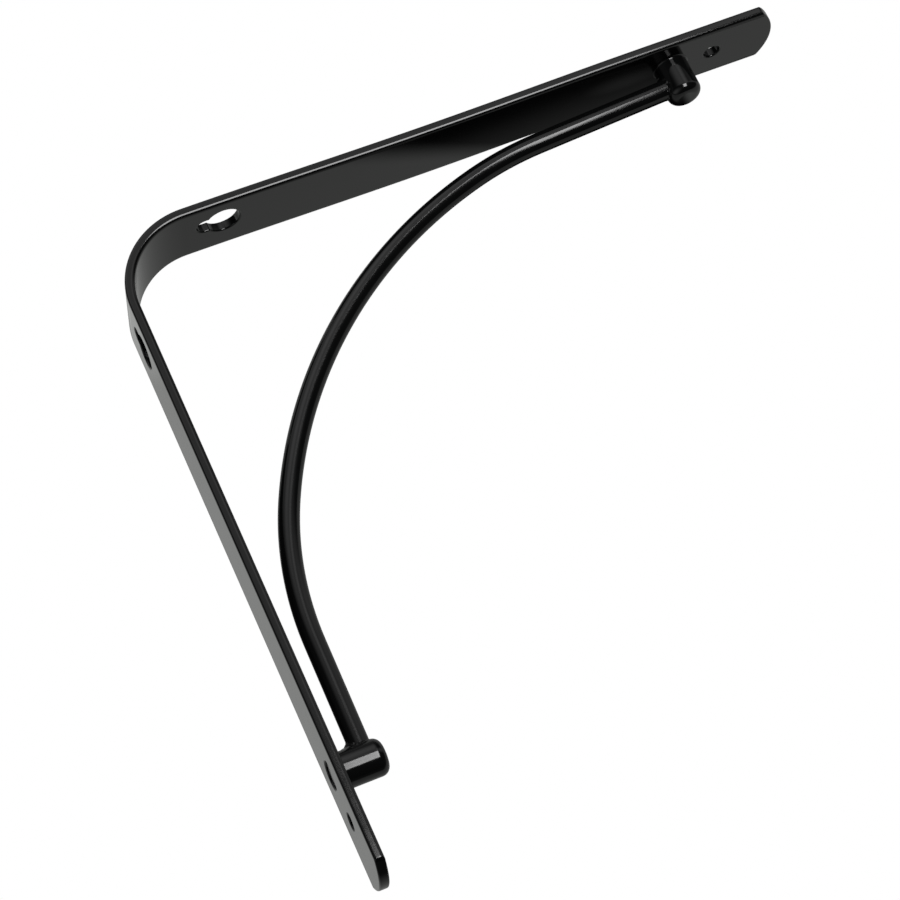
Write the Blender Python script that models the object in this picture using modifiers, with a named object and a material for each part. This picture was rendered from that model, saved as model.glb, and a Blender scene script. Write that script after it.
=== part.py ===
"""Shelf bracket: a bent flat bar braced by a curved round rod between two short posts.

Metres, +Z up. The wall lies in the plane X = 0, the shelf arm runs out along +X under the shelf,
and the wall arm runs down it. The origin is at mid-height and mid-width of the wall arm's back face.
Along each arm, s is the distance from the outer corner where the two outer faces would meet,
y is the place across the bar, and n is the depth below the arm's outer face.
"""
import math

import bmesh
import bpy
from mathutils import Matrix, Vector

# Flat bar
BAR_WIDTH = 0.0258
BAR_THICK = 0.0034
SHELF_REACH = 0.2403         # outer corner to the tip of the shelf arm
WALL_REACH = 0.232           # outer corner to the tip of the wall arm
BEND_RADIUS = 0.0278         # outer face of the bend
TIP_RISE = 0.0046            # height of the shallow arc that ends each arm
EDGE_ROUND = 0.0012          # rounding of the bar's long edges, as rolled

# Holes in the bar
KEY_RADIUS = 0.006           # round part that passes over a screw head
KEY_SLOT = 0.0035            # half width of the slot that grips the screw
KEY_RUN = 0.0052             # centre of the round part to centre of the slot's end
KEY_SIDE = -0.0019           # keyholes are punched a little off the middle line
SHELF_KEY = 0.041            # outer corner to the round part, along each arm
WALL_KEY = 0.0382
SCREW_RADIUS = 0.0029
SCREW_FROM_TIP = 0.0223      # small screw hole to the tip of its arm

# Posts
POST_RADIUS = 0.006
POST_ROUND = 0.003           # rounding of the free end
SHELF_POST = 0.2024          # outer corner to the post's axis, along each arm
WALL_POST = 0.1938
SHELF_POST_LENGTH = 0.0137   # inner face of the bar to the free end
WALL_POST_LENGTH = 0.0145
SPIGOT_HOLE = 0.00475        # radius of the hole that takes the post's spigot
SPIGOT_SINK = 0.0008         # the spigot's end lies this far below the outer face

# Rod, in the plane y = 0
ROD_RADIUS = 0.0035
ROD_WALL_GAP = 0.0083        # rod axis to the inner face of the wall arm, at the wall post
ROD_WALL_LEAN = math.radians(0.7)      # its lower run leans this far off the arm, outwards
ROD_RUN = 0.0418             # straight run from the wall post's axis to the first bend
ROD_INSIDE = 0.002           # the uncut rod stops this far short of each post's axis
ROD_TIGHT = 0.115            # bend radius near each end
ROD_WIDE = 0.161             # bend radius in the middle
ROD_TURNS = (                # the three bends one after another
    (ROD_TIGHT, math.radians(24.9)),
    (ROD_WIDE, math.radians(48.3)),
    (ROD_TIGHT, math.radians(12.6)),
)

CLEAR = 0.0003               # gap between touching pieces
TOP = WALL_REACH / 2         # height of the shelf arm's upper face
TOUCH = 1e-6                 # vertices nearer than this are one
COAT = (0.028, 0.029, 0.029, 1.0)


def clear_scene():
    """Start from nothing."""
    for old in list(bpy.data.objects):
        bpy.data.objects.remove(old, do_unlink=True)


def new_collection(name):
    group = bpy.data.collections.new(name)
    bpy.context.scene.collection.children.link(group)
    return group


def coat_material(name, roughness):
    """Black powder coat over steel."""
    coat = bpy.data.materials.new(name)
    coat.use_nodes = True
    shader = coat.node_tree.nodes["Principled BSDF"]
    shader.inputs["Base Color"].default_value = COAT
    shader.inputs["Roughness"].default_value = roughness
    shader.inputs["Metallic"].default_value = 0.0
    return coat


# Frames of the two arms: local x is s, local y is across the bar, local z is along the bar's thickness
def shelf_frame(n):
    """A plane at depth n below the shelf arm's upper face."""
    return Matrix.Translation((0, 0, TOP - n))


def wall_frame(n):
    """A plane at depth n behind the wall arm's back face."""
    turn = Matrix(((0, 0, 1, 0), (0, 1, 0, 0), (-1, 0, 0, 0), (0, 0, 0, 1)))
    return Matrix.Translation((n, 0, TOP)) @ turn


def arc(centre, radius, start, end, count):
    """Points of an arc, ends included."""
    points = []
    for i in range(count + 1):
        a = start + (end - start) * i / count
        points.append((centre[0] + radius * math.cos(a), centre[1] + radius * math.sin(a)))
    return points


def solid_from_curve(curve, frame, group):
    """Turn a filled curve into a closed mesh object in its place."""
    guide = bpy.data.objects.new(curve.name, curve)
    bpy.context.scene.collection.objects.link(guide)
    guide.matrix_world = frame
    bpy.context.view_layer.update()
    seen = guide.evaluated_get(bpy.context.evaluated_depsgraph_get())
    mesh = bpy.data.meshes.new_from_object(seen)
    mesh.name = curve.name
    mesh.transform(frame)
    bpy.data.objects.remove(guide, do_unlink=True)
    work = bmesh.new()
    work.from_mesh(mesh)
    bmesh.ops.remove_doubles(work, verts=work.verts, dist=TOUCH)
    bmesh.ops.dissolve_limit(work, angle_limit=math.radians(0.5), verts=work.verts, edges=work.edges)
    bmesh.ops.recalc_face_normals(work, faces=work.faces)
    work.to_mesh(mesh)
    work.free()
    solid = bpy.data.objects.new(mesh.name, mesh)
    group.objects.link(solid)
    return solid


def plate(name, outline, thickness, frame, group):
    """A flat outline of the given thickness, centred on the frame's own plane."""
    curve = bpy.data.curves.new(name, "CURVE")
    curve.dimensions = "2D"
    curve.fill_mode = "BOTH"
    curve.extrude = thickness / 2
    line = curve.splines.new("POLY")
    line.points.add(len(outline) - 1)
    for point, (x, y) in zip(line.points, outline):
        point.co = (x, y, 0, 1)
    line.use_cyclic_u = True
    return solid_from_curve(curve, frame, group)


def as_cutter(solid):
    solid.hide_render = True
    solid.display_type = "WIRE"
    return solid


def cut(body, cutter):
    """Take the cutter's shape out of the body."""
    step = body.modifiers.new("cut " + cutter.name, "BOOLEAN")
    step.operation = "DIFFERENCE"
    step.solver = "EXACT"
    step.object = as_cutter(cutter)


def smooth(solid, degrees):
    solid.data.shade_smooth()
    solid.data.set_sharp_from_angle(angle=math.radians(degrees))


# The bar
def bar_side():
    """The bent bar seen from its narrow side, as (x, z) points, with arms too long to be trimmed."""
    quarter = math.pi / 2
    centre = (BEND_RADIUS, TOP - BEND_RADIUS)
    outer = arc(centre, BEND_RADIUS, 2 * quarter, quarter, 16)
    inner = arc(centre, BEND_RADIUS - BAR_THICK, quarter, 2 * quarter, 16)
    wall_end = TOP - WALL_REACH - TIP_RISE
    shelf_end = SHELF_REACH + TIP_RISE
    return (
        [(0, wall_end)] + outer + [(shelf_end, TOP), (shelf_end, TOP - BAR_THICK)]
        + inner + [(BAR_THICK, wall_end)]
    )


def tip_outline(reach):
    """What is trimmed off past the shallow arc at an arm's tip, as (s, y) points."""
    half = BAR_WIDTH / 2
    radius = (half * half + TIP_RISE * TIP_RISE) / (2 * TIP_RISE)
    swing = math.radians(46)
    beyond = reach + 2 * TIP_RISE
    curve = arc((reach - radius, 0), radius, -swing, swing, 22)
    return curve + [(beyond, curve[-1][1]), (beyond, curve[0][1])]


def keyhole_outline(place):
    """Round part at the given place, slot towards the bend."""
    open_half = math.asin(KEY_SLOT / KEY_RADIUS)
    mouth = arc((place, KEY_SIDE), KEY_RADIUS, math.pi - open_half, open_half - math.pi, 30)
    slot = arc((place - KEY_RUN, KEY_SIDE), KEY_SLOT, -math.pi / 2, -3 * math.pi / 2, 14)
    return mouth + slot


def round_outline(place, radius):
    """A circle whose flats, not its corners, lie on the middle line."""
    half_step = math.pi / 32
    return arc((place, 0), radius, half_step, 2 * math.pi + half_step, 32)[:-1]


def build_bar(group, cutters, coat):
    through = 3 * BAR_THICK
    upright = Matrix.Rotation(math.pi / 2, 4, "X")     # the side view stands up in the X-Z plane
    bar = plate("strap", bar_side(), BAR_WIDTH, upright, group)
    arms = (
        ("shelf", shelf_frame(BAR_THICK / 2), SHELF_REACH, SHELF_KEY, SHELF_POST),
        ("wall", wall_frame(BAR_THICK / 2), WALL_REACH, WALL_KEY, WALL_POST),
    )
    rounding = bar.modifiers.new("rounded edges", "BEVEL")
    rounding.width = EDGE_ROUND
    rounding.segments = 3
    rounding.limit_method = "ANGLE"
    rounding.angle_limit = math.radians(35)
    for arm, frame, reach, key, post in arms:
        cuts = (
            (" tip", tip_outline(reach)),
            (" keyhole", keyhole_outline(key)),
            (" screw hole", round_outline(reach - SCREW_FROM_TIP, SCREW_RADIUS)),
            (" spigot hole", round_outline(post, SPIGOT_HOLE)),
        )
        for name, outline in cuts:
            cut(bar, plate(arm + name, outline, through, frame, cutters))
    smooth(bar, 30)
    bar.data.materials.append(coat)
    return bar


# The posts
def post_profile(length):
    """Half section of a post as (radius, n) points, from its free end down to its spigot."""
    end = BAR_THICK + length
    corner = arc((POST_RADIUS - POST_ROUND, end - POST_ROUND), POST_ROUND, math.pi / 2, 0, 6)
    spigot = SPIGOT_HOLE - CLEAR
    seat = BAR_THICK + CLEAR
    return (
        [(0, end)] + corner
        + [(POST_RADIUS, seat), (spigot, seat), (spigot, SPIGOT_SINK), (0, SPIGOT_SINK)]
    )


def build_post(name, length, place, turn, group, coat):
    """A turned stud whose own +Z points away from the bar's outer face."""
    mesh = bpy.data.meshes.new(name)
    work = bmesh.new()
    line = [work.verts.new((r, 0, n)) for r, n in post_profile(length)]
    for a, b in zip(line, line[1:]):
        work.edges.new((a, b))
    work.to_mesh(mesh)
    work.free()
    post = bpy.data.objects.new(name, mesh)
    group.objects.link(post)
    post.location = place
    post.rotation_euler = turn
    spin = post.modifiers.new("turned", "SCREW")
    spin.axis = "Z"
    spin.steps = 32
    spin.render_steps = 32
    spin.use_merge_vertices = True
    spin.merge_threshold = 1e-5
    spin.use_smooth_shade = True
    post.data.materials.append(coat)
    return post


# The rod
def rod_path():
    """Centre line of the rod as (x, z), from just inside the wall post to just inside the shelf post."""
    heading = math.pi / 2 - ROD_WALL_LEAN
    along = Vector((math.cos(heading), math.sin(heading)))
    axis = Vector((BAR_THICK + ROD_WALL_GAP, TOP - WALL_POST))
    path = [axis + ROD_INSIDE * along]
    point = axis + ROD_RUN * along
    path.append(point.copy())
    for radius, turn in ROD_TURNS:
        centre = point + radius * Vector((math.sin(heading), -math.cos(heading)))
        count = max(4, round(math.degrees(turn) / 2.4))
        for i in range(1, count + 1):
            a = heading - turn * i / count
            point = centre + radius * Vector((-math.sin(a), math.cos(a)))
            path.append(point.copy())
        heading -= turn
    last = SHELF_POST - ROD_INSIDE - point.x
    path.append(point + Vector((last, last * math.tan(heading))))
    return path


def build_rod(group, cutters, coat):
    curve = bpy.data.curves.new("brace_rod", "CURVE")
    curve.dimensions = "3D"
    curve.bevel_depth = ROD_RADIUS
    curve.bevel_resolution = 6
    curve.use_fill_caps = True
    path = rod_path()
    line = curve.splines.new("POLY")
    line.points.add(len(path) - 1)
    for point, (x, z) in zip(line.points, path):
        point.co = (x, 0, z, 1)
    rod = solid_from_curve(curve, Matrix.Identity(4), group)
    # Each end is coped to fit round its post
    hollow = round_outline(0, POST_RADIUS + CLEAR)
    places = (
        ("shelf cope", shelf_frame(BAR_THICK), SHELF_POST, SHELF_POST_LENGTH),
        ("wall cope", wall_frame(BAR_THICK), WALL_POST, WALL_POST_LENGTH),
    )
    for name, frame, place, length in places:
        cut(rod, plate(name, hollow, 4 * length, frame @ Matrix.Translation((place, 0, 0)), cutters))
    smooth(rod, 35)
    rod.data.materials.append(coat)
    return rod


def main():
    clear_scene()
    group = new_collection("shelf bracket")
    cutters = new_collection("cutters")
    cutters.hide_render = True
    build_bar(group, cutters, coat_material("strap_coat", 0.34))
    post_coat = coat_material("post_coat", 0.32)
    shelf_post = (SHELF_POST, 0, TOP)
    wall_post = (0, 0, TOP - WALL_POST)
    build_post("shelf_post", SHELF_POST_LENGTH, shelf_post, (math.pi, 0, 0), group, post_coat)
    build_post("wall_post", WALL_POST_LENGTH, wall_post, (0, math.pi / 2, 0), group, post_coat)
    build_rod(group, cutters, coat_material("rod_coat", 0.30))


main()
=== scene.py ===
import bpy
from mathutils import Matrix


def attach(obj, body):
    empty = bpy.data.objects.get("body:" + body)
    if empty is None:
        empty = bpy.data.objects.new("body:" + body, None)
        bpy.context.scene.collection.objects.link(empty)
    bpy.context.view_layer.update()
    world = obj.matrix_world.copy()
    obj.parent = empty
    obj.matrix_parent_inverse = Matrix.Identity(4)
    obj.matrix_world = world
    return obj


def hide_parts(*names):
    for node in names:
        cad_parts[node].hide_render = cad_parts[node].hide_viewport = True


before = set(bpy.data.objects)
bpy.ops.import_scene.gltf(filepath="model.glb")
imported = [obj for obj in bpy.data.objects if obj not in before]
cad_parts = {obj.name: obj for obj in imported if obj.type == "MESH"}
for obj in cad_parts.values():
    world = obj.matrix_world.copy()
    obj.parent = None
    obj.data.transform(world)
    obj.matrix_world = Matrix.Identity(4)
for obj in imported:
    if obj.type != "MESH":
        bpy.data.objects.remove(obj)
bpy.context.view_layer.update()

import math

import bmesh
import bpy
from mathutils import Matrix, Vector, noise

mm = 0.001
topHeight = 116 * mm          # upper face of the shelf arm


# Small helpers for working in edit mode

def selectNothing():
    if bpy.context.object and bpy.context.object.mode != "OBJECT":
        bpy.ops.object.mode_set(mode="OBJECT")
    bpy.ops.object.select_all(action="DESELECT")


def makeActive(piece):
    selectNothing()
    piece.select_set(True)
    bpy.context.view_layer.objects.active = piece


def newestPiece(name):
    piece = bpy.context.object
    piece.name = name
    piece.data.name = name
    return piece


def openForEditing(piece, kind="FACE"):
    makeActive(piece)
    bpy.ops.object.mode_set(mode="EDIT")
    bpy.ops.mesh.select_mode(type=kind)
    bpy.ops.mesh.select_all(action="DESELECT")


def closeEditing():
    bpy.ops.object.mode_set(mode="OBJECT")


def choose(elements, test):
    for element in elements:
        element.select_set(False)
    for element in elements:
        if test(element):
            element.select_set(True)


def pickFaces(test):
    mesh = bpy.context.object.data
    work = bmesh.from_edit_mesh(mesh)
    choose(work.faces, test)
    bmesh.update_edit_mesh(mesh)


def pickEdges(test):
    # the test is given the places of an edge's two ends
    mesh = bpy.context.object.data
    work = bmesh.from_edit_mesh(mesh)
    choose(work.edges, lambda edge: test(edge.verts[0].co, edge.verts[1].co))
    bmesh.update_edit_mesh(mesh)


def pickVerts(test):
    mesh = bpy.context.object.data
    work = bmesh.from_edit_mesh(mesh)
    choose(work.verts, lambda vert: test(vert.co))
    work.select_flush(True)
    bmesh.update_edit_mesh(mesh)


def pullOut(step):
    bpy.ops.mesh.extrude_region_move(TRANSFORM_OT_translate={"value": tuple(step)})


def turnNormalsOut():
    bpy.ops.mesh.select_all(action="SELECT")
    bpy.ops.mesh.remove_doubles(threshold=1e-6)
    bpy.ops.mesh.normals_make_consistent(inside=False)


def applyModifiers(piece):
    makeActive(piece)
    for step in list(piece.modifiers):
        bpy.ops.object.modifier_apply(modifier=step.name)


def settle(piece, place):
    # moves a finished mesh to its place and leaves the object itself at the origin
    makeActive(piece)
    piece.matrix_world = place
    bpy.context.view_layer.update()
    bpy.ops.object.transform_apply(location=True, rotation=True, scale=True)


def smoothOver(piece, degrees, weigh=True, byStrength=False):
    makeActive(piece)
    bpy.ops.object.shade_smooth_by_angle(angle=math.radians(degrees))
    if weigh:
        weighted = piece.modifiers.new("weighted normals", "WEIGHTED_NORMAL")
        weighted.keep_sharp = True
        weighted.weight = 100                            # large faces count for the most
        weighted.use_face_influence = byStrength         # and those set to a strength come first
        applyModifiers(piece)


def takeAway(piece, cutter):
    cutting = piece.modifiers.new("cut", "BOOLEAN")
    cutting.operation = "DIFFERENCE"
    cutting.solver = "EXACT"
    cutting.object = cutter
    applyModifiers(piece)
    bpy.data.objects.remove(cutter, do_unlink=True)


# A place on the wall arm: s down from the outer corner, y across the bar, n in from the outer face
def onWallArm(s, y, n):
    return Vector((n, y, topHeight - s))


# Seen in plan, with +X along the shelf arm and +Z up, for what is cut right through it
shelfArmPlan = Matrix.Translation((0, 0, topHeight))
# With +Z from the arm's outer face inwards, for what stands on an arm and for the wall arm's cuts
shelfArmFrame = Matrix.Translation((0, 0, topHeight)) @ Matrix.Rotation(math.pi, 4, "X")
wallArmFrame = Matrix.Translation((0, 0, topHeight)) @ Matrix(
    ((0, 0, 1, 0), (0, 1, 0, 0), (-1, 0, 0, 0), (0, 0, 0, 1)))


coat = {
    "ior": 1.5,
    "colour": (0.0030, 0.0031, 0.0032),
    "fadedColour": (0.0048, 0.0050, 0.0051),
    # slow unevenness of the steel below, dimples of the orange peel, and the powder's own grain
    "wave": {"size": 26 * mm, "height": 0.010 * mm, "detail": 1.0, "rough": 0.5},
    "peel": {"size": 1.3 * mm, "height": 0.0012 * mm, "detail": 1.5, "rough": 0.5},
    "grain": {"size": 0.28 * mm, "height": 0.00015 * mm, "detail": 2.0, "rough": 0.5},
    # how far apart glossier and duller places lie, and darker and paler ones
    "patch": {"size": 9 * mm, "detail": 4.0, "rough": 0.6},
    "patchRange": (0.3, 0.7),      # the part of the noise that goes from glossiest to dullest
    "tint": {"size": 4 * mm, "detail": 5.0, "rough": 0.65},
}


def powderCoat(name, glossy, dull):
    material = bpy.data.materials.new(name)
    material.use_nodes = True
    nodes, links = material.node_tree.nodes, material.node_tree.links
    shader = nodes["Principled BSDF"]
    shader.inputs["Metallic"].default_value = 0.0
    shader.inputs["IOR"].default_value = coat["ior"]
    where = nodes.new("ShaderNodeTexCoord")

    def cloud(layer):
        texture = nodes.new("ShaderNodeTexNoise")
        texture.inputs["Scale"].default_value = 1 / layer["size"]
        texture.inputs["Detail"].default_value = layer["detail"]
        texture.inputs["Roughness"].default_value = layer["rough"]
        links.new(where.outputs["Object"], texture.inputs["Vector"])
        return texture.outputs["Fac"]

    under = None
    for layer in (coat["wave"], coat["peel"], coat["grain"]):
        relief = nodes.new("ShaderNodeBump")
        relief.inputs["Strength"].default_value = 1.0
        relief.inputs["Distance"].default_value = layer["height"]
        links.new(cloud(layer), relief.inputs["Height"])
        if under:
            links.new(under, relief.inputs["Normal"])
        under = relief.outputs["Normal"]
    links.new(under, shader.inputs["Normal"])

    patches = nodes.new("ShaderNodeMapRange")          # roughness wanders a little from place to place
    for socket, number in zip(("From Min", "From Max", "To Min", "To Max"),
                              (*coat["patchRange"], glossy, dull)):
        patches.inputs[socket].default_value = number
    links.new(cloud(coat["patch"]), patches.inputs["Value"])
    links.new(patches.outputs["Result"], shader.inputs["Roughness"])

    tint = nodes.new("ShaderNodeMix")
    tint.data_type = "RGBA"
    tint.inputs["A"].default_value = (*coat["colour"], 1)
    tint.inputs["B"].default_value = (*coat["fadedColour"], 1)
    links.new(cloud(coat["tint"]), tint.inputs["Factor"])
    links.new(tint.outputs["Result"], shader.inputs["Base Color"])
    return material


def dress(piece, material, slot, *nodes):
    piece.data.materials.clear()
    piece.data.materials.append(material)
    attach(piece, "root")
    if nodes:
        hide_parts(*nodes)


bar = {
    "width": 25.8 * mm,
    "thickness": 3.4 * mm,
    "shelfReach": 240.3 * mm,
    "wallReach": 232.0 * mm,
    "bendRadius": 27.8 * mm,
    "bendSteps": 56,
    "tipRise": 4.6 * mm,
    "tipSides": 256,
    "sag": 0.68 * mm,            # the shelf arm hangs this much low between the bend and its post
    "sagEnd": 196 * mm,
    "sagSteps": 24,
    "edgeRound": 1.65 * mm,      # the inner edges are rounded nearly to the middle, the outer ones less
    "outerRound": 0.9 * mm,
    "edgeFullness": 0.6,         # a little squarer than a circle
    "edgeSegments": 10,
    "rim": 0.55 * mm,            # bevel along the holes and the tips
    "rimSegments": 4,
    "rimAngle": 38,              # degrees; only sharper edges get the rim
    "keyRadius": 5.8 * mm,       # round part of a keyhole
    "keySides": 96,
    "keySlot": 3.15 * mm,        # half width of its slot
    "slotSides": 72,
    "keyRun": 6.2 * mm,          # centre of the round part to the centre of the slot's end
    "keySide": -1.9 * mm,        # how far off the bar's middle line it lies
    "shelfKey": 41.2 * mm,       # from the outer corner, as for the posts
    "wallKey": 39.2 * mm,
    "screwRadius": 2.9 * mm,
    "screwSides": 64,
    "screwFromTip": 22.3 * mm,
    "spigotHole": 4.75 * mm,
    "spigotSides": 72,
    "shelfPost": 202.4 * mm,
    "wallPost": 193.8 * mm,
    "cutDepth": 14 * mm,         # length of a cutter, well over the bar's thickness
    "tipBlock": 9 * mm,          # height of the block that trims a tip
    "sharpOver": 30,             # degrees; shallower edges are shaded smooth
    "gloss": (0.09, 0.135),      # roughness of the coat where it is glossiest and dullest
}


def depthInBar(point):
    # how far a point lies in from the outer face
    bend = bar["bendRadius"]
    if point.x > bend:
        return topHeight - point.z
    if point.z < topHeight - bend:
        return point.x
    return bend - math.hypot(bend - point.x, topHeight - bend - point.z)


def sweptBar():
    # one narrow face is pulled up the wall arm, spun round the bend and pulled out along the shelf arm
    spare = 2 * bar["tipRise"]
    bend, thick = bar["bendRadius"], bar["thickness"]
    selectNothing()
    bpy.ops.mesh.primitive_plane_add(size=1, location=(0, 0, 0))
    strap = newestPiece("strapBar")
    openForEditing(strap)
    bpy.ops.mesh.select_all(action="SELECT")
    bpy.ops.transform.resize(value=(thick, bar["width"], 1))
    bpy.ops.transform.translate(value=(thick / 2, 0, topHeight - bar["wallReach"] - spare))
    pullOut((0, 0, bar["wallReach"] + spare - bend))
    bpy.ops.mesh.spin(steps=bar["bendSteps"], angle=-math.pi / 2, use_auto_merge=False,
                      center=(bend, 0, topHeight - bend), axis=(0, 1, 0))
    for i in range(bar["sagSteps"]):
        pullOut(((bar["sagEnd"] - bend) / bar["sagSteps"], 0, 0))
    pullOut((bar["shelfReach"] + spare - bar["sagEnd"], 0, 0))
    turnNormalsOut()
    bpy.ops.mesh.select_mode(type="EDGE")
    near = 0.02 * mm
    for depth, offset in ((0, bar["outerRound"]), (thick, bar["edgeRound"])):
        pickEdges(lambda a, b: max(abs(depthInBar(a) - depth), abs(depthInBar(b) - depth)) < near
                  and abs(a.y - b.y) < near and abs(a.y) > bar["width"] / 2 - near)
        bpy.ops.mesh.bevel(offset=offset, offset_type="OFFSET", segments=bar["edgeSegments"],
                           profile=bar["edgeFullness"], affect="EDGES", clamp_overlap=False)
    closeEditing()
    for vert in strap.data.vertices:
        along = (vert.co.x - bend) / (bar["sagEnd"] - bend)
        if 0 < along < 1:
            vert.co.z -= bar["sag"] * math.sin(math.pi * along) ** 2
    return strap


def roundCutter(name, toPlace, s, y, radius, sides):
    selectNothing()
    bpy.ops.mesh.primitive_cylinder_add(vertices=sides, radius=radius, depth=bar["cutDepth"])
    cutter = newestPiece(name)
    settle(cutter, toPlace @ Matrix.Translation((s, y, 0)))
    return cutter


def slotCutter(name, toPlace, s, y, radius, sides, run):
    # a cylinder with half of it drawn out towards the round part of the keyhole
    cutter = roundCutter(name, Matrix.Rotation(math.pi / sides, 4, "Z"), 0, 0, radius, sides)
    openForEditing(cutter, "VERT")
    pickVerts(lambda co: co.x > 0)
    bpy.ops.transform.translate(value=(run, 0, 0))
    closeEditing()
    settle(cutter, toPlace @ Matrix.Translation((s, y, 0)))
    return cutter


def tipCutter(name, toPlace, reach):
    # everything past the shallow arc: a block with a large cylinder taken out of it
    half, rise = bar["width"] / 2, bar["tipRise"]
    radius = (half * half + rise * rise) / (2 * rise)
    disc = roundCutter(name + "Disc", toPlace, reach - radius, 0, radius, bar["tipSides"])
    selectNothing()
    bpy.ops.mesh.primitive_cube_add(size=1)
    block = newestPiece(name)
    length = 6 * rise
    block.scale = (length, 3 * half, bar["tipBlock"])
    bpy.ops.object.transform_apply(scale=True)
    settle(block, toPlace @ Matrix.Translation((reach - 2 * rise + length / 2, 0, 0)))
    takeAway(block, disc)
    return block


def keepFlatsFlat(strap):
    # the wide faces lead the shading, so that the rounded edges don't bend their reflections
    stripArea = 10 * mm * mm     # the facets of the rims are smaller
    level = 0.001                # the facets of the rounded edges lean further across the bar
    straight = 0.9998            # an arm's wide faces, its slight sag too, face X or Z at least this much

    def isWide(face):
        return face.calc_area() > stripArea

    openForEditing(strap)
    bpy.ops.mesh.select_all(action="SELECT")
    bpy.ops.mesh.mod_weighted_strength(set=True, face_strength="WEAK")
    pickFaces(lambda face: abs(face.normal.y) < level and isWide(face))
    bpy.ops.mesh.mod_weighted_strength(set=True, face_strength="MEDIUM")
    pickFaces(lambda face: max(abs(face.normal.x), abs(face.normal.z)) > straight and isWide(face))
    bpy.ops.mesh.mod_weighted_strength(set=True, face_strength="STRONG")
    closeEditing()


def buildStrap():
    strap = sweptBar()
    side, run = bar["keySide"], bar["keyRun"]
    arms = (
        ("shelf", shelfArmPlan, bar["shelfReach"], bar["shelfKey"], bar["shelfPost"]),
        ("wall", wallArmFrame, bar["wallReach"], bar["wallKey"], bar["wallPost"]),
    )
    for arm, toPlace, reach, key, post in arms:
        screw = reach - bar["screwFromTip"]
        takeAway(strap, tipCutter(arm + "Tip", toPlace, reach))
        takeAway(strap, roundCutter(arm + "Key", toPlace, key, side, bar["keyRadius"], bar["keySides"]))
        takeAway(strap, slotCutter(arm + "Slot", toPlace, key - run, side,
                                   bar["keySlot"], bar["slotSides"], run))
        takeAway(strap, roundCutter(arm + "Screw", toPlace, screw, 0, bar["screwRadius"], bar["screwSides"]))
        takeAway(strap, roundCutter(arm + "Spigot", toPlace, post, 0, bar["spigotHole"], bar["spigotSides"]))
    rims = strap.modifiers.new("rims", "BEVEL")
    rims.width = bar["rim"]
    rims.segments = bar["rimSegments"]
    rims.limit_method = "ANGLE"
    rims.angle_limit = math.radians(bar["rimAngle"])
    rims.use_clamp_overlap = False
    applyModifiers(strap)
    for vert in strap.data.vertices:
        # the rims push a few corner points out by a hair
        vert.co.x = max(vert.co.x, 0.0)
        vert.co.z = min(vert.co.z, topHeight)
    keepFlatsFlat(strap)
    smoothOver(strap, bar["sharpOver"], byStrength=True)
    return strap


strapCoat = powderCoat("strapPowderCoat", *bar["gloss"])
strap = buildStrap()
dress(strap, strapCoat, "strap_coat", "strap")
print("bar bent and cut:", len(strap.data.polygons), "faces")


post = {
    "radius": 6.0 * mm,
    "sides": 96,
    "endRound": 3.0 * mm,
    "endSegments": 14,
    "foot": 0.7 * mm,            # small hollow fillet where the post stands on the bar
    "footSteps": 6,
    "spigot": 4.55 * mm,
    "spigotSink": 0.55 * mm,     # the spigot's end lies this far below the bar's outer face
    "spigotChamfer": 0.4 * mm,
    "shelfLength": 13.7 * mm,
    "wallLength": 14.5 * mm,
    "sharpOver": 32,             # degrees
    "gloss": (0.10, 0.135),
}


def buildPost(name, length, toPlace, s):
    thick, foot = bar["thickness"], post["foot"]
    barrel = length - foot
    selectNothing()
    bpy.ops.mesh.primitive_cylinder_add(vertices=post["sides"], radius=post["radius"], depth=barrel,
                                        location=(0, 0, thick + foot + barrel / 2))
    stud = newestPiece(name)
    settle(stud, stud.matrix_world.copy())
    openForEditing(stud, "EDGE")
    hair = 0.01 * mm
    end = thick + length
    pickEdges(lambda a, b: min(a.z, b.z) > end - hair)
    bpy.ops.mesh.bevel(offset=post["endRound"], offset_type="OFFSET", segments=post["endSegments"],
                       profile=0.5, affect="EDGES", clamp_overlap=False)
    # the foot flares out in a few steps, then turns in to the spigot
    bpy.ops.mesh.select_mode(type="FACE")
    facingDown = -0.9
    pickFaces(lambda face: face.normal.z < facingDown
              and face.calc_center_median().z < thick + foot + hair)
    radius, depth = post["radius"], 0.0
    for i in range(1, post["footSteps"] + 1):
        a = math.pi / 2 * i / post["footSteps"]
        newRadius = post["radius"] + foot * (1 - math.cos(a))
        newDepth = foot * math.sin(a)
        pullOut((0, 0, depth - newDepth))
        grow = newRadius / radius
        bpy.ops.transform.resize(value=(grow, grow, 1), center_override=(0, 0, 0))
        radius, depth = newRadius, newDepth
    bpy.ops.mesh.inset(thickness=radius - post["spigot"], depth=0)
    pullOut((0, 0, -(thick - post["spigotSink"] - post["spigotChamfer"])))
    pullOut((0, 0, -post["spigotChamfer"]))
    shrink = 1 - post["spigotChamfer"] / post["spigot"]
    bpy.ops.transform.resize(value=(shrink, shrink, 1), center_override=(0, 0, 0))
    turnNormalsOut()
    closeEditing()
    settle(stud, toPlace @ Matrix.Translation((s, 0, 0)))
    smoothOver(stud, post["sharpOver"])
    return stud


postCoat = powderCoat("postPowderCoat", *post["gloss"])
shelfPost = buildPost("shelfPostStud", post["shelfLength"], shelfArmFrame, bar["shelfPost"])
wallPost = buildPost("wallPostStud", post["wallLength"], wallArmFrame, bar["wallPost"])
dress(shelfPost, postCoat, "post_coat", "shelf_post")
dress(wallPost, postCoat, "post_coat", "wall_post")
print("posts turned:", len(shelfPost.data.polygons), "faces each")


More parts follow.
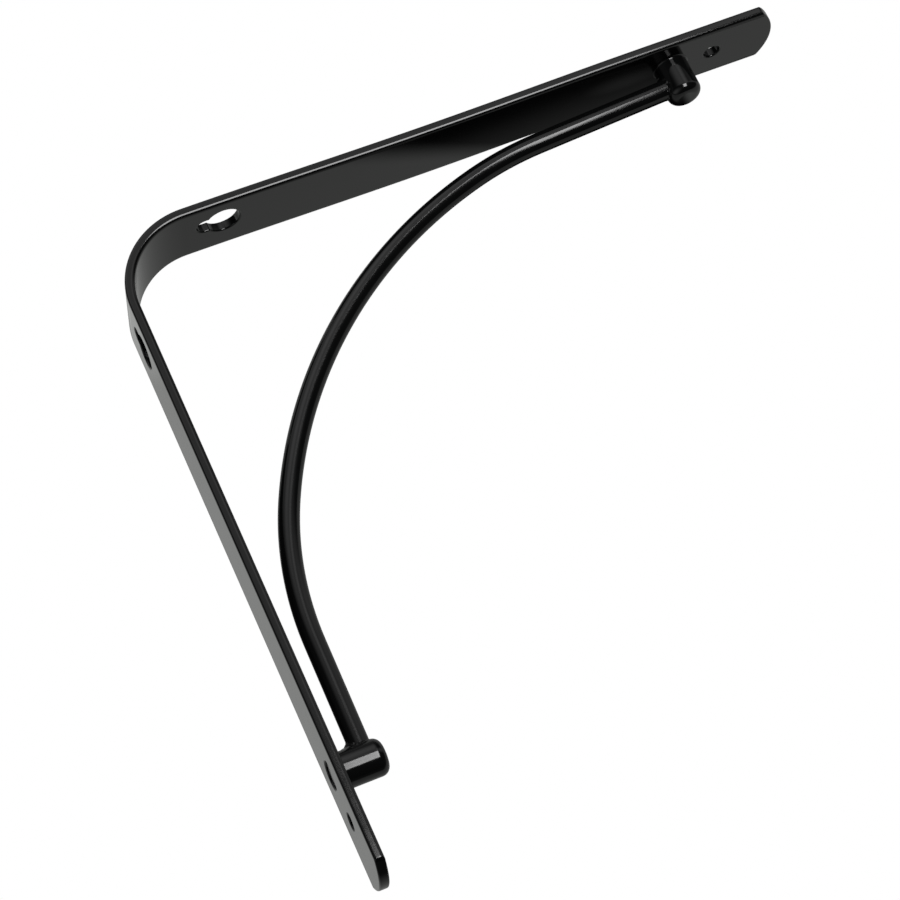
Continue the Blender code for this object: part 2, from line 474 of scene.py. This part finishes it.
rod = {
    "radius": 3.5 * mm,
    "wallGap": 8.3 * mm,         # rod axis to the wall arm's inner face
    "lean": math.radians(0.7),   # the lower run leans this much away from the wall arm
    "run": 41.8 * mm,            # straight run from the wall post's axis to the first bend
    "inside": 2.0 * mm,          # each end stops this far short of its post's axis
    "sides": 64,
    # radius and turn of each bend, one after another, in steps of about bendStep
    "bends": ((115 * mm, math.radians(24.9)), (161 * mm, math.radians(48.3)),
              (115 * mm, math.radians(12.6))),
    "bendStep": math.radians(0.9),
    "fewestSteps": 10,
    "sharpOver": 40,             # degrees
    "gloss": (0.11, 0.15),
}


def buildRod():
    heading = math.pi / 2 - rod["lean"]
    away = Vector((math.cos(heading), 0, math.sin(heading)))
    wallCross = onWallArm(bar["wallPost"], 0, bar["thickness"] + rod["wallGap"])
    selectNothing()
    bpy.ops.mesh.primitive_circle_add(vertices=rod["sides"], radius=rod["radius"], fill_type="NGON")
    brace = newestPiece("braceRod")
    start = Matrix.Translation(wallCross + rod["inside"] * away)
    settle(brace, start @ Matrix.Rotation(rod["lean"], 4, "Y"))
    openForEditing(brace)
    bpy.ops.mesh.select_all(action="SELECT")
    pullOut((rod["run"] - rod["inside"]) * away)
    point = wallCross + rod["run"] * away
    for radius, turn in rod["bends"]:
        centre = point + radius * Vector((math.sin(heading), 0, -math.cos(heading)))
        steps = max(rod["fewestSteps"], round(turn / rod["bendStep"]))
        bpy.ops.mesh.spin(steps=steps, angle=-turn, use_auto_merge=False,
                          center=tuple(centre), axis=(0, 1, 0))
        heading -= turn
        point = centre + radius * Vector((-math.sin(heading), 0, math.cos(heading)))
    onwards = Vector((1, 0, math.tan(heading)))
    shelfCross = point + (bar["shelfPost"] - point.x) * onwards
    pullOut((bar["shelfPost"] - rod["inside"] - point.x) * onwards)
    turnNormalsOut()
    closeEditing()
    smoothOver(brace, rod["sharpOver"], weigh=False)
    # a joint is where the rod's axis meets a post's axis, and the rod's direction there, off the post
    return brace, (wallCross, away), (shelfCross, -onwards.normalized())


rodCoat = powderCoat("rodPowderCoat", *rod["gloss"])
brace, wallJoint, shelfJoint = buildRod()
dress(brace, rodCoat, "rod_coat", "brace_rod")
print("rod bent:", len(brace.data.polygons), "faces")


bead = {
    "wallLeg": 2.5 * mm,         # how far the weld reaches along the rod, on the side of the arm
    "wallOuter": 0.25,           # the share of that on the side away from the arm
    "shelfLeg": 1.3 * mm,
    "shelfOuter": 0.8,
    "sideShare": 0.6,            # the share at the rod's two sides, where the post falls away
    "sink": 0.4 * mm,            # how deep the bead goes into the post and the rod
    "edgeDip": 0.04 * mm,        # how far its two edges lie under the rod's and the post's skin
    "leastSkin": 0.5 * mm,       # no point of the skin is taken nearer the post's axis than this
    "rippleHeight": 0.30 * mm,
    "rippleSize": 1.2 * mm,
    "aroundRod": 120,            # sections round the rod
    "throughBead": 24,           # points round each section
    "hollowPoints": 18,          # of those, the ones on the hollow outer face
    "sharpOver": 60,             # degrees
}


def postRadiusAt(depth, length):
    # a post is narrower near its rounded end
    past = depth - (length - post["endRound"])
    if past <= 0:
        return post["radius"]
    past = min(past, post["endRound"])
    return post["radius"] - post["endRound"] + math.sqrt(post["endRound"] ** 2 - past ** 2)


def beadProfile(step, leg):
    # distances from the rod's skin and from the post's skin, going round the bead's section once
    sink, dip = bead["sink"], bead["edgeDip"]
    last = bead["hollowPoints"] - 1
    if step <= last:
        t = math.pi / 2 * step / last
        return leg * (1 - math.cos(t)) - dip, leg * (1 - math.sin(t)) - dip
    left = (step - last) / (bead["throughBead"] - last)
    return leg * (1 - left) - sink, leg * left - sink


def buildBead(name, joint, intoRoom, depth, length, leg, outerShare):
    # depth is from the arm's inner face to the rod's axis, and length is the post's
    cross, away = joint
    sideways = away.cross(intoRoom).normalized()
    outwards = sideways.cross(away).normalized()
    selectNothing()
    bpy.ops.mesh.primitive_torus_add(major_segments=bead["aroundRod"], minor_segments=bead["throughBead"],
                                     major_radius=rod["radius"], minor_radius=leg)
    weld = newestPiece(name)
    for vert in weld.data.vertices:
        a = 2 * math.pi * (vert.index // bead["throughBead"]) / bead["aroundRod"]
        step = vert.index % bead["throughBead"]
        share = 1 - (1 - bead["sideShare"]) * math.cos(a) ** 2
        share *= 1 - (1 - outerShare) * (1 + math.sin(a)) / 2
        offRod, offPost = beadProfile(step, leg * share)
        radial = rod["radius"] + offRod
        side, rise = radial * math.cos(a), radial * math.sin(a)
        radiusHere = postRadiusAt(depth + rise, length)
        skin = math.sqrt(max(radiusHere ** 2 - side ** 2, bead["leastSkin"] ** 2))
        place = cross + side * sideways + rise * outwards + (skin + offPost) * away
        if 0 < step < bead["hollowPoints"] - 1:
            ripple = noise.noise(place / bead["rippleSize"])
            fromRod = outwards * math.sin(a) + sideways * math.cos(a)
            place += bead["rippleHeight"] * share * ripple * (fromRod + away)
        vert.co = place
    openForEditing(weld)
    turnNormalsOut()
    closeEditing()
    smoothOver(weld, bead["sharpOver"], weigh=False)
    return weld


wallBead = buildBead("wallWeldBead", wallJoint, Vector((1, 0, 0)), rod["wallGap"],
                     post["wallLength"], bead["wallLeg"], bead["wallOuter"])
shelfDepth = topHeight - bar["thickness"] - shelfJoint[0].z
shelfBead = buildBead("shelfWeldBead", shelfJoint, Vector((0, 0, -1)), shelfDepth,
                      post["shelfLength"], bead["shelfLeg"], bead["shelfOuter"])
for weld in (wallBead, shelfBead):
    dress(weld, rodCoat, "rod_coat")
print("weld beads laid:", len(wallBead.data.polygons), "faces each")


room = {
    "floorHeight": -1.1,
    "floorSize": 24.0,
    "floorColour": (0.25, 0.25, 0.25),
    "floorRoughness": 0.8,
    "floorGlow": 0.66,           # keeps the floor as pale as the room, also away from the lamp
    "betweenGlows": 0.01,        # how bright the room is where no glow reaches
}


def paleFloor():
    paint = bpy.data.materials.new("paleFloor")
    paint.use_nodes = True
    shader = paint.node_tree.nodes["Principled BSDF"]
    shader.inputs["Base Color"].default_value = (*room["floorColour"], 1)
    shader.inputs["Roughness"].default_value = room["floorRoughness"]
    shader.inputs["Specular IOR Level"].default_value = 0.0
    shader.inputs["Emission Color"].default_value = (1, 1, 1, 1)
    shader.inputs["Emission Strength"].default_value = room["floorGlow"]
    return paint


selectNothing()
bpy.ops.mesh.primitive_plane_add(size=room["floorSize"], location=(0, 0, room["floorHeight"]))
floor = newestPiece("floor")
floor.data.materials.append(paleFloor())
floor.visible_glossy = False
floor.visible_diffuse = False


# Small helpers for a brightness that varies from place to place, on the card and round the room

def fade(tree, value, low, high, toLow, toHigh):
    # goes softly from toLow to toHigh while the value goes from low to high
    ranged = tree.nodes.new("ShaderNodeMapRange")
    ranged.interpolation_type = "SMOOTHSTEP"
    for socket, number in zip(("From Min", "From Max", "To Min", "To Max"), (low, high, toLow, toHigh)):
        ranged.inputs[socket].default_value = number
    tree.links.new(value, ranged.inputs["Value"])
    return ranged.outputs["Result"]


def joined(tree, how, first, second):
    node = tree.nodes.new("ShaderNodeMath")
    node.operation = how
    tree.links.new(first, node.inputs[0])
    tree.links.new(second, node.inputs[1])
    return node.outputs["Value"]


def farFrom(tree, place, centre, stretch):
    # distance from the centre, with each axis stretched first
    apart = tree.nodes.new("ShaderNodeVectorMath")
    apart.operation = "SUBTRACT"
    tree.links.new(place, apart.inputs[0])
    apart.inputs[1].default_value = centre
    stretched = tree.nodes.new("ShaderNodeVectorMath")
    stretched.operation = "MULTIPLY"
    tree.links.new(apart.outputs["Vector"], stretched.inputs[0])
    stretched.inputs[1].default_value = stretch
    far = tree.nodes.new("ShaderNodeVectorMath")
    far.operation = "LENGTH"
    tree.links.new(stretched.outputs["Vector"], far.inputs[0])
    return far.outputs["Value"]


# A card close behind the bracket, seen only in its reflections. Its glow is painted light standing in for a
# lamp-lit table,
# with painted shade: it is dim between the rod and the shelf arm, which would keep light from it there.
card = {
    "place": (0.1, 13.4 * mm, 0.0),
    "size": 3.0,
    "tint": (0.985, 1.0, 0.98),
    "level": 0.38,
    "paintedShadeLevel": 0.004,
    "leftLevel": 0.46,           # painted light, to the left of the wall arm
    "leftTopLevel": 0.68,        # and higher up there, next to the bend
    "leftTop": (68 * mm, 92 * mm),          # heights between which it rises to that
    "leftEdge": 0.5 * mm,                   # half width of its soft edge, which is on the wall's plane
    "lowLevel": 0.30,            # painted light, below the painted shade
    "lowEdge": 88 * mm,
    "lowFade": 6 * mm,
    "paintedShadeTopLevel": 0.11,         # the painted shade is less dark right under the shelf arm
    "paintedShadeTop": (99 * mm, 114 * mm),
    "paintedShadeFrom": (123.5 * mm, 106 * mm),      # a point on the upper edge of the dim part
    "paintedShadeSlope": 0.33,            # how fast that edge rises to the right
    "paintedShadeFade": 4.8 * mm,
    "pastPost": 207 * mm,        # beyond the shelf post the card is pale again
    "postFade": 2 * mm,
    "paintedGleam": (190 * mm, 105.5 * mm),        # a faint painted light patch in the painted shade
    "paintedGleamSize": (28 * mm, 5 * mm),
    "paintedGleamLevel": 0.10,
    "foot": (-152 * mm, -117 * mm),         # below the wall arm the card goes dark between these heights
    "footShare": 0.12,
}


# painted light and shade: the glow copies a lit table, darkened where the rod and shelf arm would shadow it
def paintedCardLight():
    paint = bpy.data.materials.new("paintedCardLight")
    paint.use_nodes = True
    tree = paint.node_tree
    tree.nodes.clear()
    where = tree.nodes.new("ShaderNodeTexCoord")
    split = tree.nodes.new("ShaderNodeSeparateXYZ")
    tree.links.new(where.outputs["Object"], split.inputs["Vector"])
    x, z = split.outputs["X"], split.outputs["Z"]

    def around(value, edge, half, toLow, toHigh):
        return fade(tree, value, edge - half, edge + half, toLow, toHigh)

    aboveEdge = tree.nodes.new("ShaderNodeMath")
    aboveEdge.operation = "MULTIPLY_ADD"
    tree.links.new(x, aboveEdge.inputs[0])
    aboveEdge.inputs[1].default_value = -card["paintedShadeSlope"]
    tree.links.new(z, aboveEdge.inputs[2])
    edgeX, edgeZ = card["paintedShadeFrom"]
    edge = edgeZ - card["paintedShadeSlope"] * edgeX
    lit = around(aboveEdge.outputs["Value"], edge, card["paintedShadeFade"], card["paintedShadeLevel"], card["level"])
    pastPost = around(x, card["pastPost"], card["postFade"], card["paintedShadeLevel"], card["level"])
    # painted light on the card to the left of the wall arm, brighter higher up
    left = joined(tree, "MULTIPLY", around(x, 0.0, card["leftEdge"], 1.0, 0.0),
                  fade(tree, z, *card["leftTop"], card["leftLevel"], card["leftTopLevel"]))
    low = around(z, card["lowEdge"], card["lowFade"], card["lowLevel"], 0.0)
    paintedShadeNearArm = fade(tree, z, *card["paintedShadeTop"], card["paintedShadeLevel"], card["paintedShadeTopLevel"])
    gleamX, gleamZ = card["paintedGleam"]
    wide, high = card["paintedGleamSize"]
    far = farFrom(tree, where.outputs["Object"], (gleamX, card["place"][1], gleamZ), (1 / wide, 1, 1 / high))
    paintedGleam = fade(tree, far, 0.0, 1.0, card["paintedGleamLevel"], 0.0)

    total = lit
    for part in (pastPost, left, low, paintedShadeNearArm, paintedGleam):
        total = joined(tree, "MAXIMUM", total, part)
    total = joined(tree, "MULTIPLY", total, fade(tree, z, *card["foot"], card["footShare"], 1.0))
    glow = tree.nodes.new("ShaderNodeEmission")
    glow.inputs["Color"].default_value = (*card["tint"], 1)
    tree.links.new(total, glow.inputs["Strength"])
    out = tree.nodes.new("ShaderNodeOutputMaterial")
    tree.links.new(glow.outputs["Emission"], out.inputs["Surface"])
    return paint


selectNothing()
bpy.ops.mesh.primitive_plane_add(size=card["size"])
backCard = newestPiece("backCard")
settle(backCard, Matrix.Translation(card["place"]) @ Matrix.Rotation(math.pi / 2, 4, "X"))
backCard.data.materials.append(paintedCardLight())
backCard.visible_camera = False
backCard.visible_diffuse = False
backCard.visible_shadow = False


lamp = {
    "place": (0.3775, -1.2, -0.155),
    "width": 0.415,
    "height": 0.81,
    "power": 10.2,
}
light = bpy.data.lights.new("softBox", "AREA")
light.shape = "RECTANGLE"
light.size = lamp["width"]
light.size_y = lamp["height"]
light.energy = lamp["power"]
softBox = bpy.data.objects.new("softBox", light)
softBox.location = lamp["place"]
softBox.rotation_euler = (math.pi / 2, 0, 0)
softBox.visible_camera = False
bpy.context.scene.collection.objects.link(softBox)


# Soft glows of the pale room: where each lies (turned from -Y towards +X, and up), how bright it is,
# how far it reaches, and how much flatter than round it is
glows = (
    {"turn": -3, "up": 44, "level": 0.93, "reach": 0.72, "flat": 1.0},
    {"turn": 22, "up": 23, "level": 0.85, "reach": 0.46, "flat": 1.2},
    {"turn": 62, "up": 17, "level": 0.46, "reach": 1.15, "flat": 4.4},
    {"turn": -48, "up": 62, "level": 0.44, "reach": 0.62, "flat": 1.0},
    {"turn": 140, "up": -15, "level": 0.22, "reach": 1.2, "flat": 1.4},
    {"turn": -70, "up": -24, "level": 0.50, "reach": 0.95, "flat": 1.5},
    {"turn": 175, "up": 50, "level": 0.80, "reach": 1.1, "flat": 1.0},
)


def toward(turn, lift):
    turn, lift = math.radians(turn), math.radians(lift)
    return Vector((math.sin(turn) * math.cos(lift), -math.cos(turn) * math.cos(lift), math.sin(lift)))


def lightRoom():
    world = bpy.data.worlds.new("studio")
    bpy.context.scene.world = world
    world.use_nodes = True
    tree = world.node_tree
    sky, wires = tree.nodes, tree.links
    sky.clear()
    direction = sky.new("ShaderNodeTexCoord").outputs["Generated"]
    total = None
    for glow in glows:
        far = farFrom(tree, direction, toward(glow["turn"], glow["up"]), (1, 1, glow["flat"]))
        level = fade(tree, far, 0.0, glow["reach"], glow["level"], room["betweenGlows"])
        total = joined(tree, "MAXIMUM", total, level) if total else level
    dome = sky.new("ShaderNodeBackground")
    wires.new(total, dome.inputs["Strength"])
    dome.inputs["Color"].default_value = (1, 1, 1, 1)
    plainWhite = sky.new("ShaderNodeBackground")
    plainWhite.inputs["Color"].default_value = (1, 1, 1, 1)
    seen = sky.new("ShaderNodeLightPath")
    mixed = sky.new("ShaderNodeMixShader")
    out = sky.new("ShaderNodeOutputWorld")
    wires.new(seen.outputs["Is Camera Ray"], mixed.inputs["Fac"])
    wires.new(dome.outputs["Background"], mixed.inputs[1])
    wires.new(plainWhite.outputs["Background"], mixed.inputs[2])
    wires.new(mixed.outputs["Shader"], out.inputs["Surface"])


lightRoom()
bpy.context.scene.view_settings.view_transform = "Standard"
bpy.context.scene.view_settings.look = "None"
print("room lit:", len(glows), "glows")


cameraSettings = {
    "place": (-0.13095, -0.90837, -0.39206),
    "turn": (115.4957, 23.3912, -2.1538),       # degrees
    "sensor": 36,
    "lens": 128.448,
    "nearest": 0.01,
}
lens = bpy.data.cameras.new("photoCamera")
lens.sensor_width = cameraSettings["sensor"]
lens.lens = cameraSettings["lens"]
lens.clip_start = cameraSettings["nearest"]
camera = bpy.data.objects.new("photoCamera", lens)
camera.location = cameraSettings["place"]
camera.rotation_euler = [math.radians(a) for a in cameraSettings["turn"]]
bpy.context.scene.collection.objects.link(camera)
bpy.context.scene.camera = camera
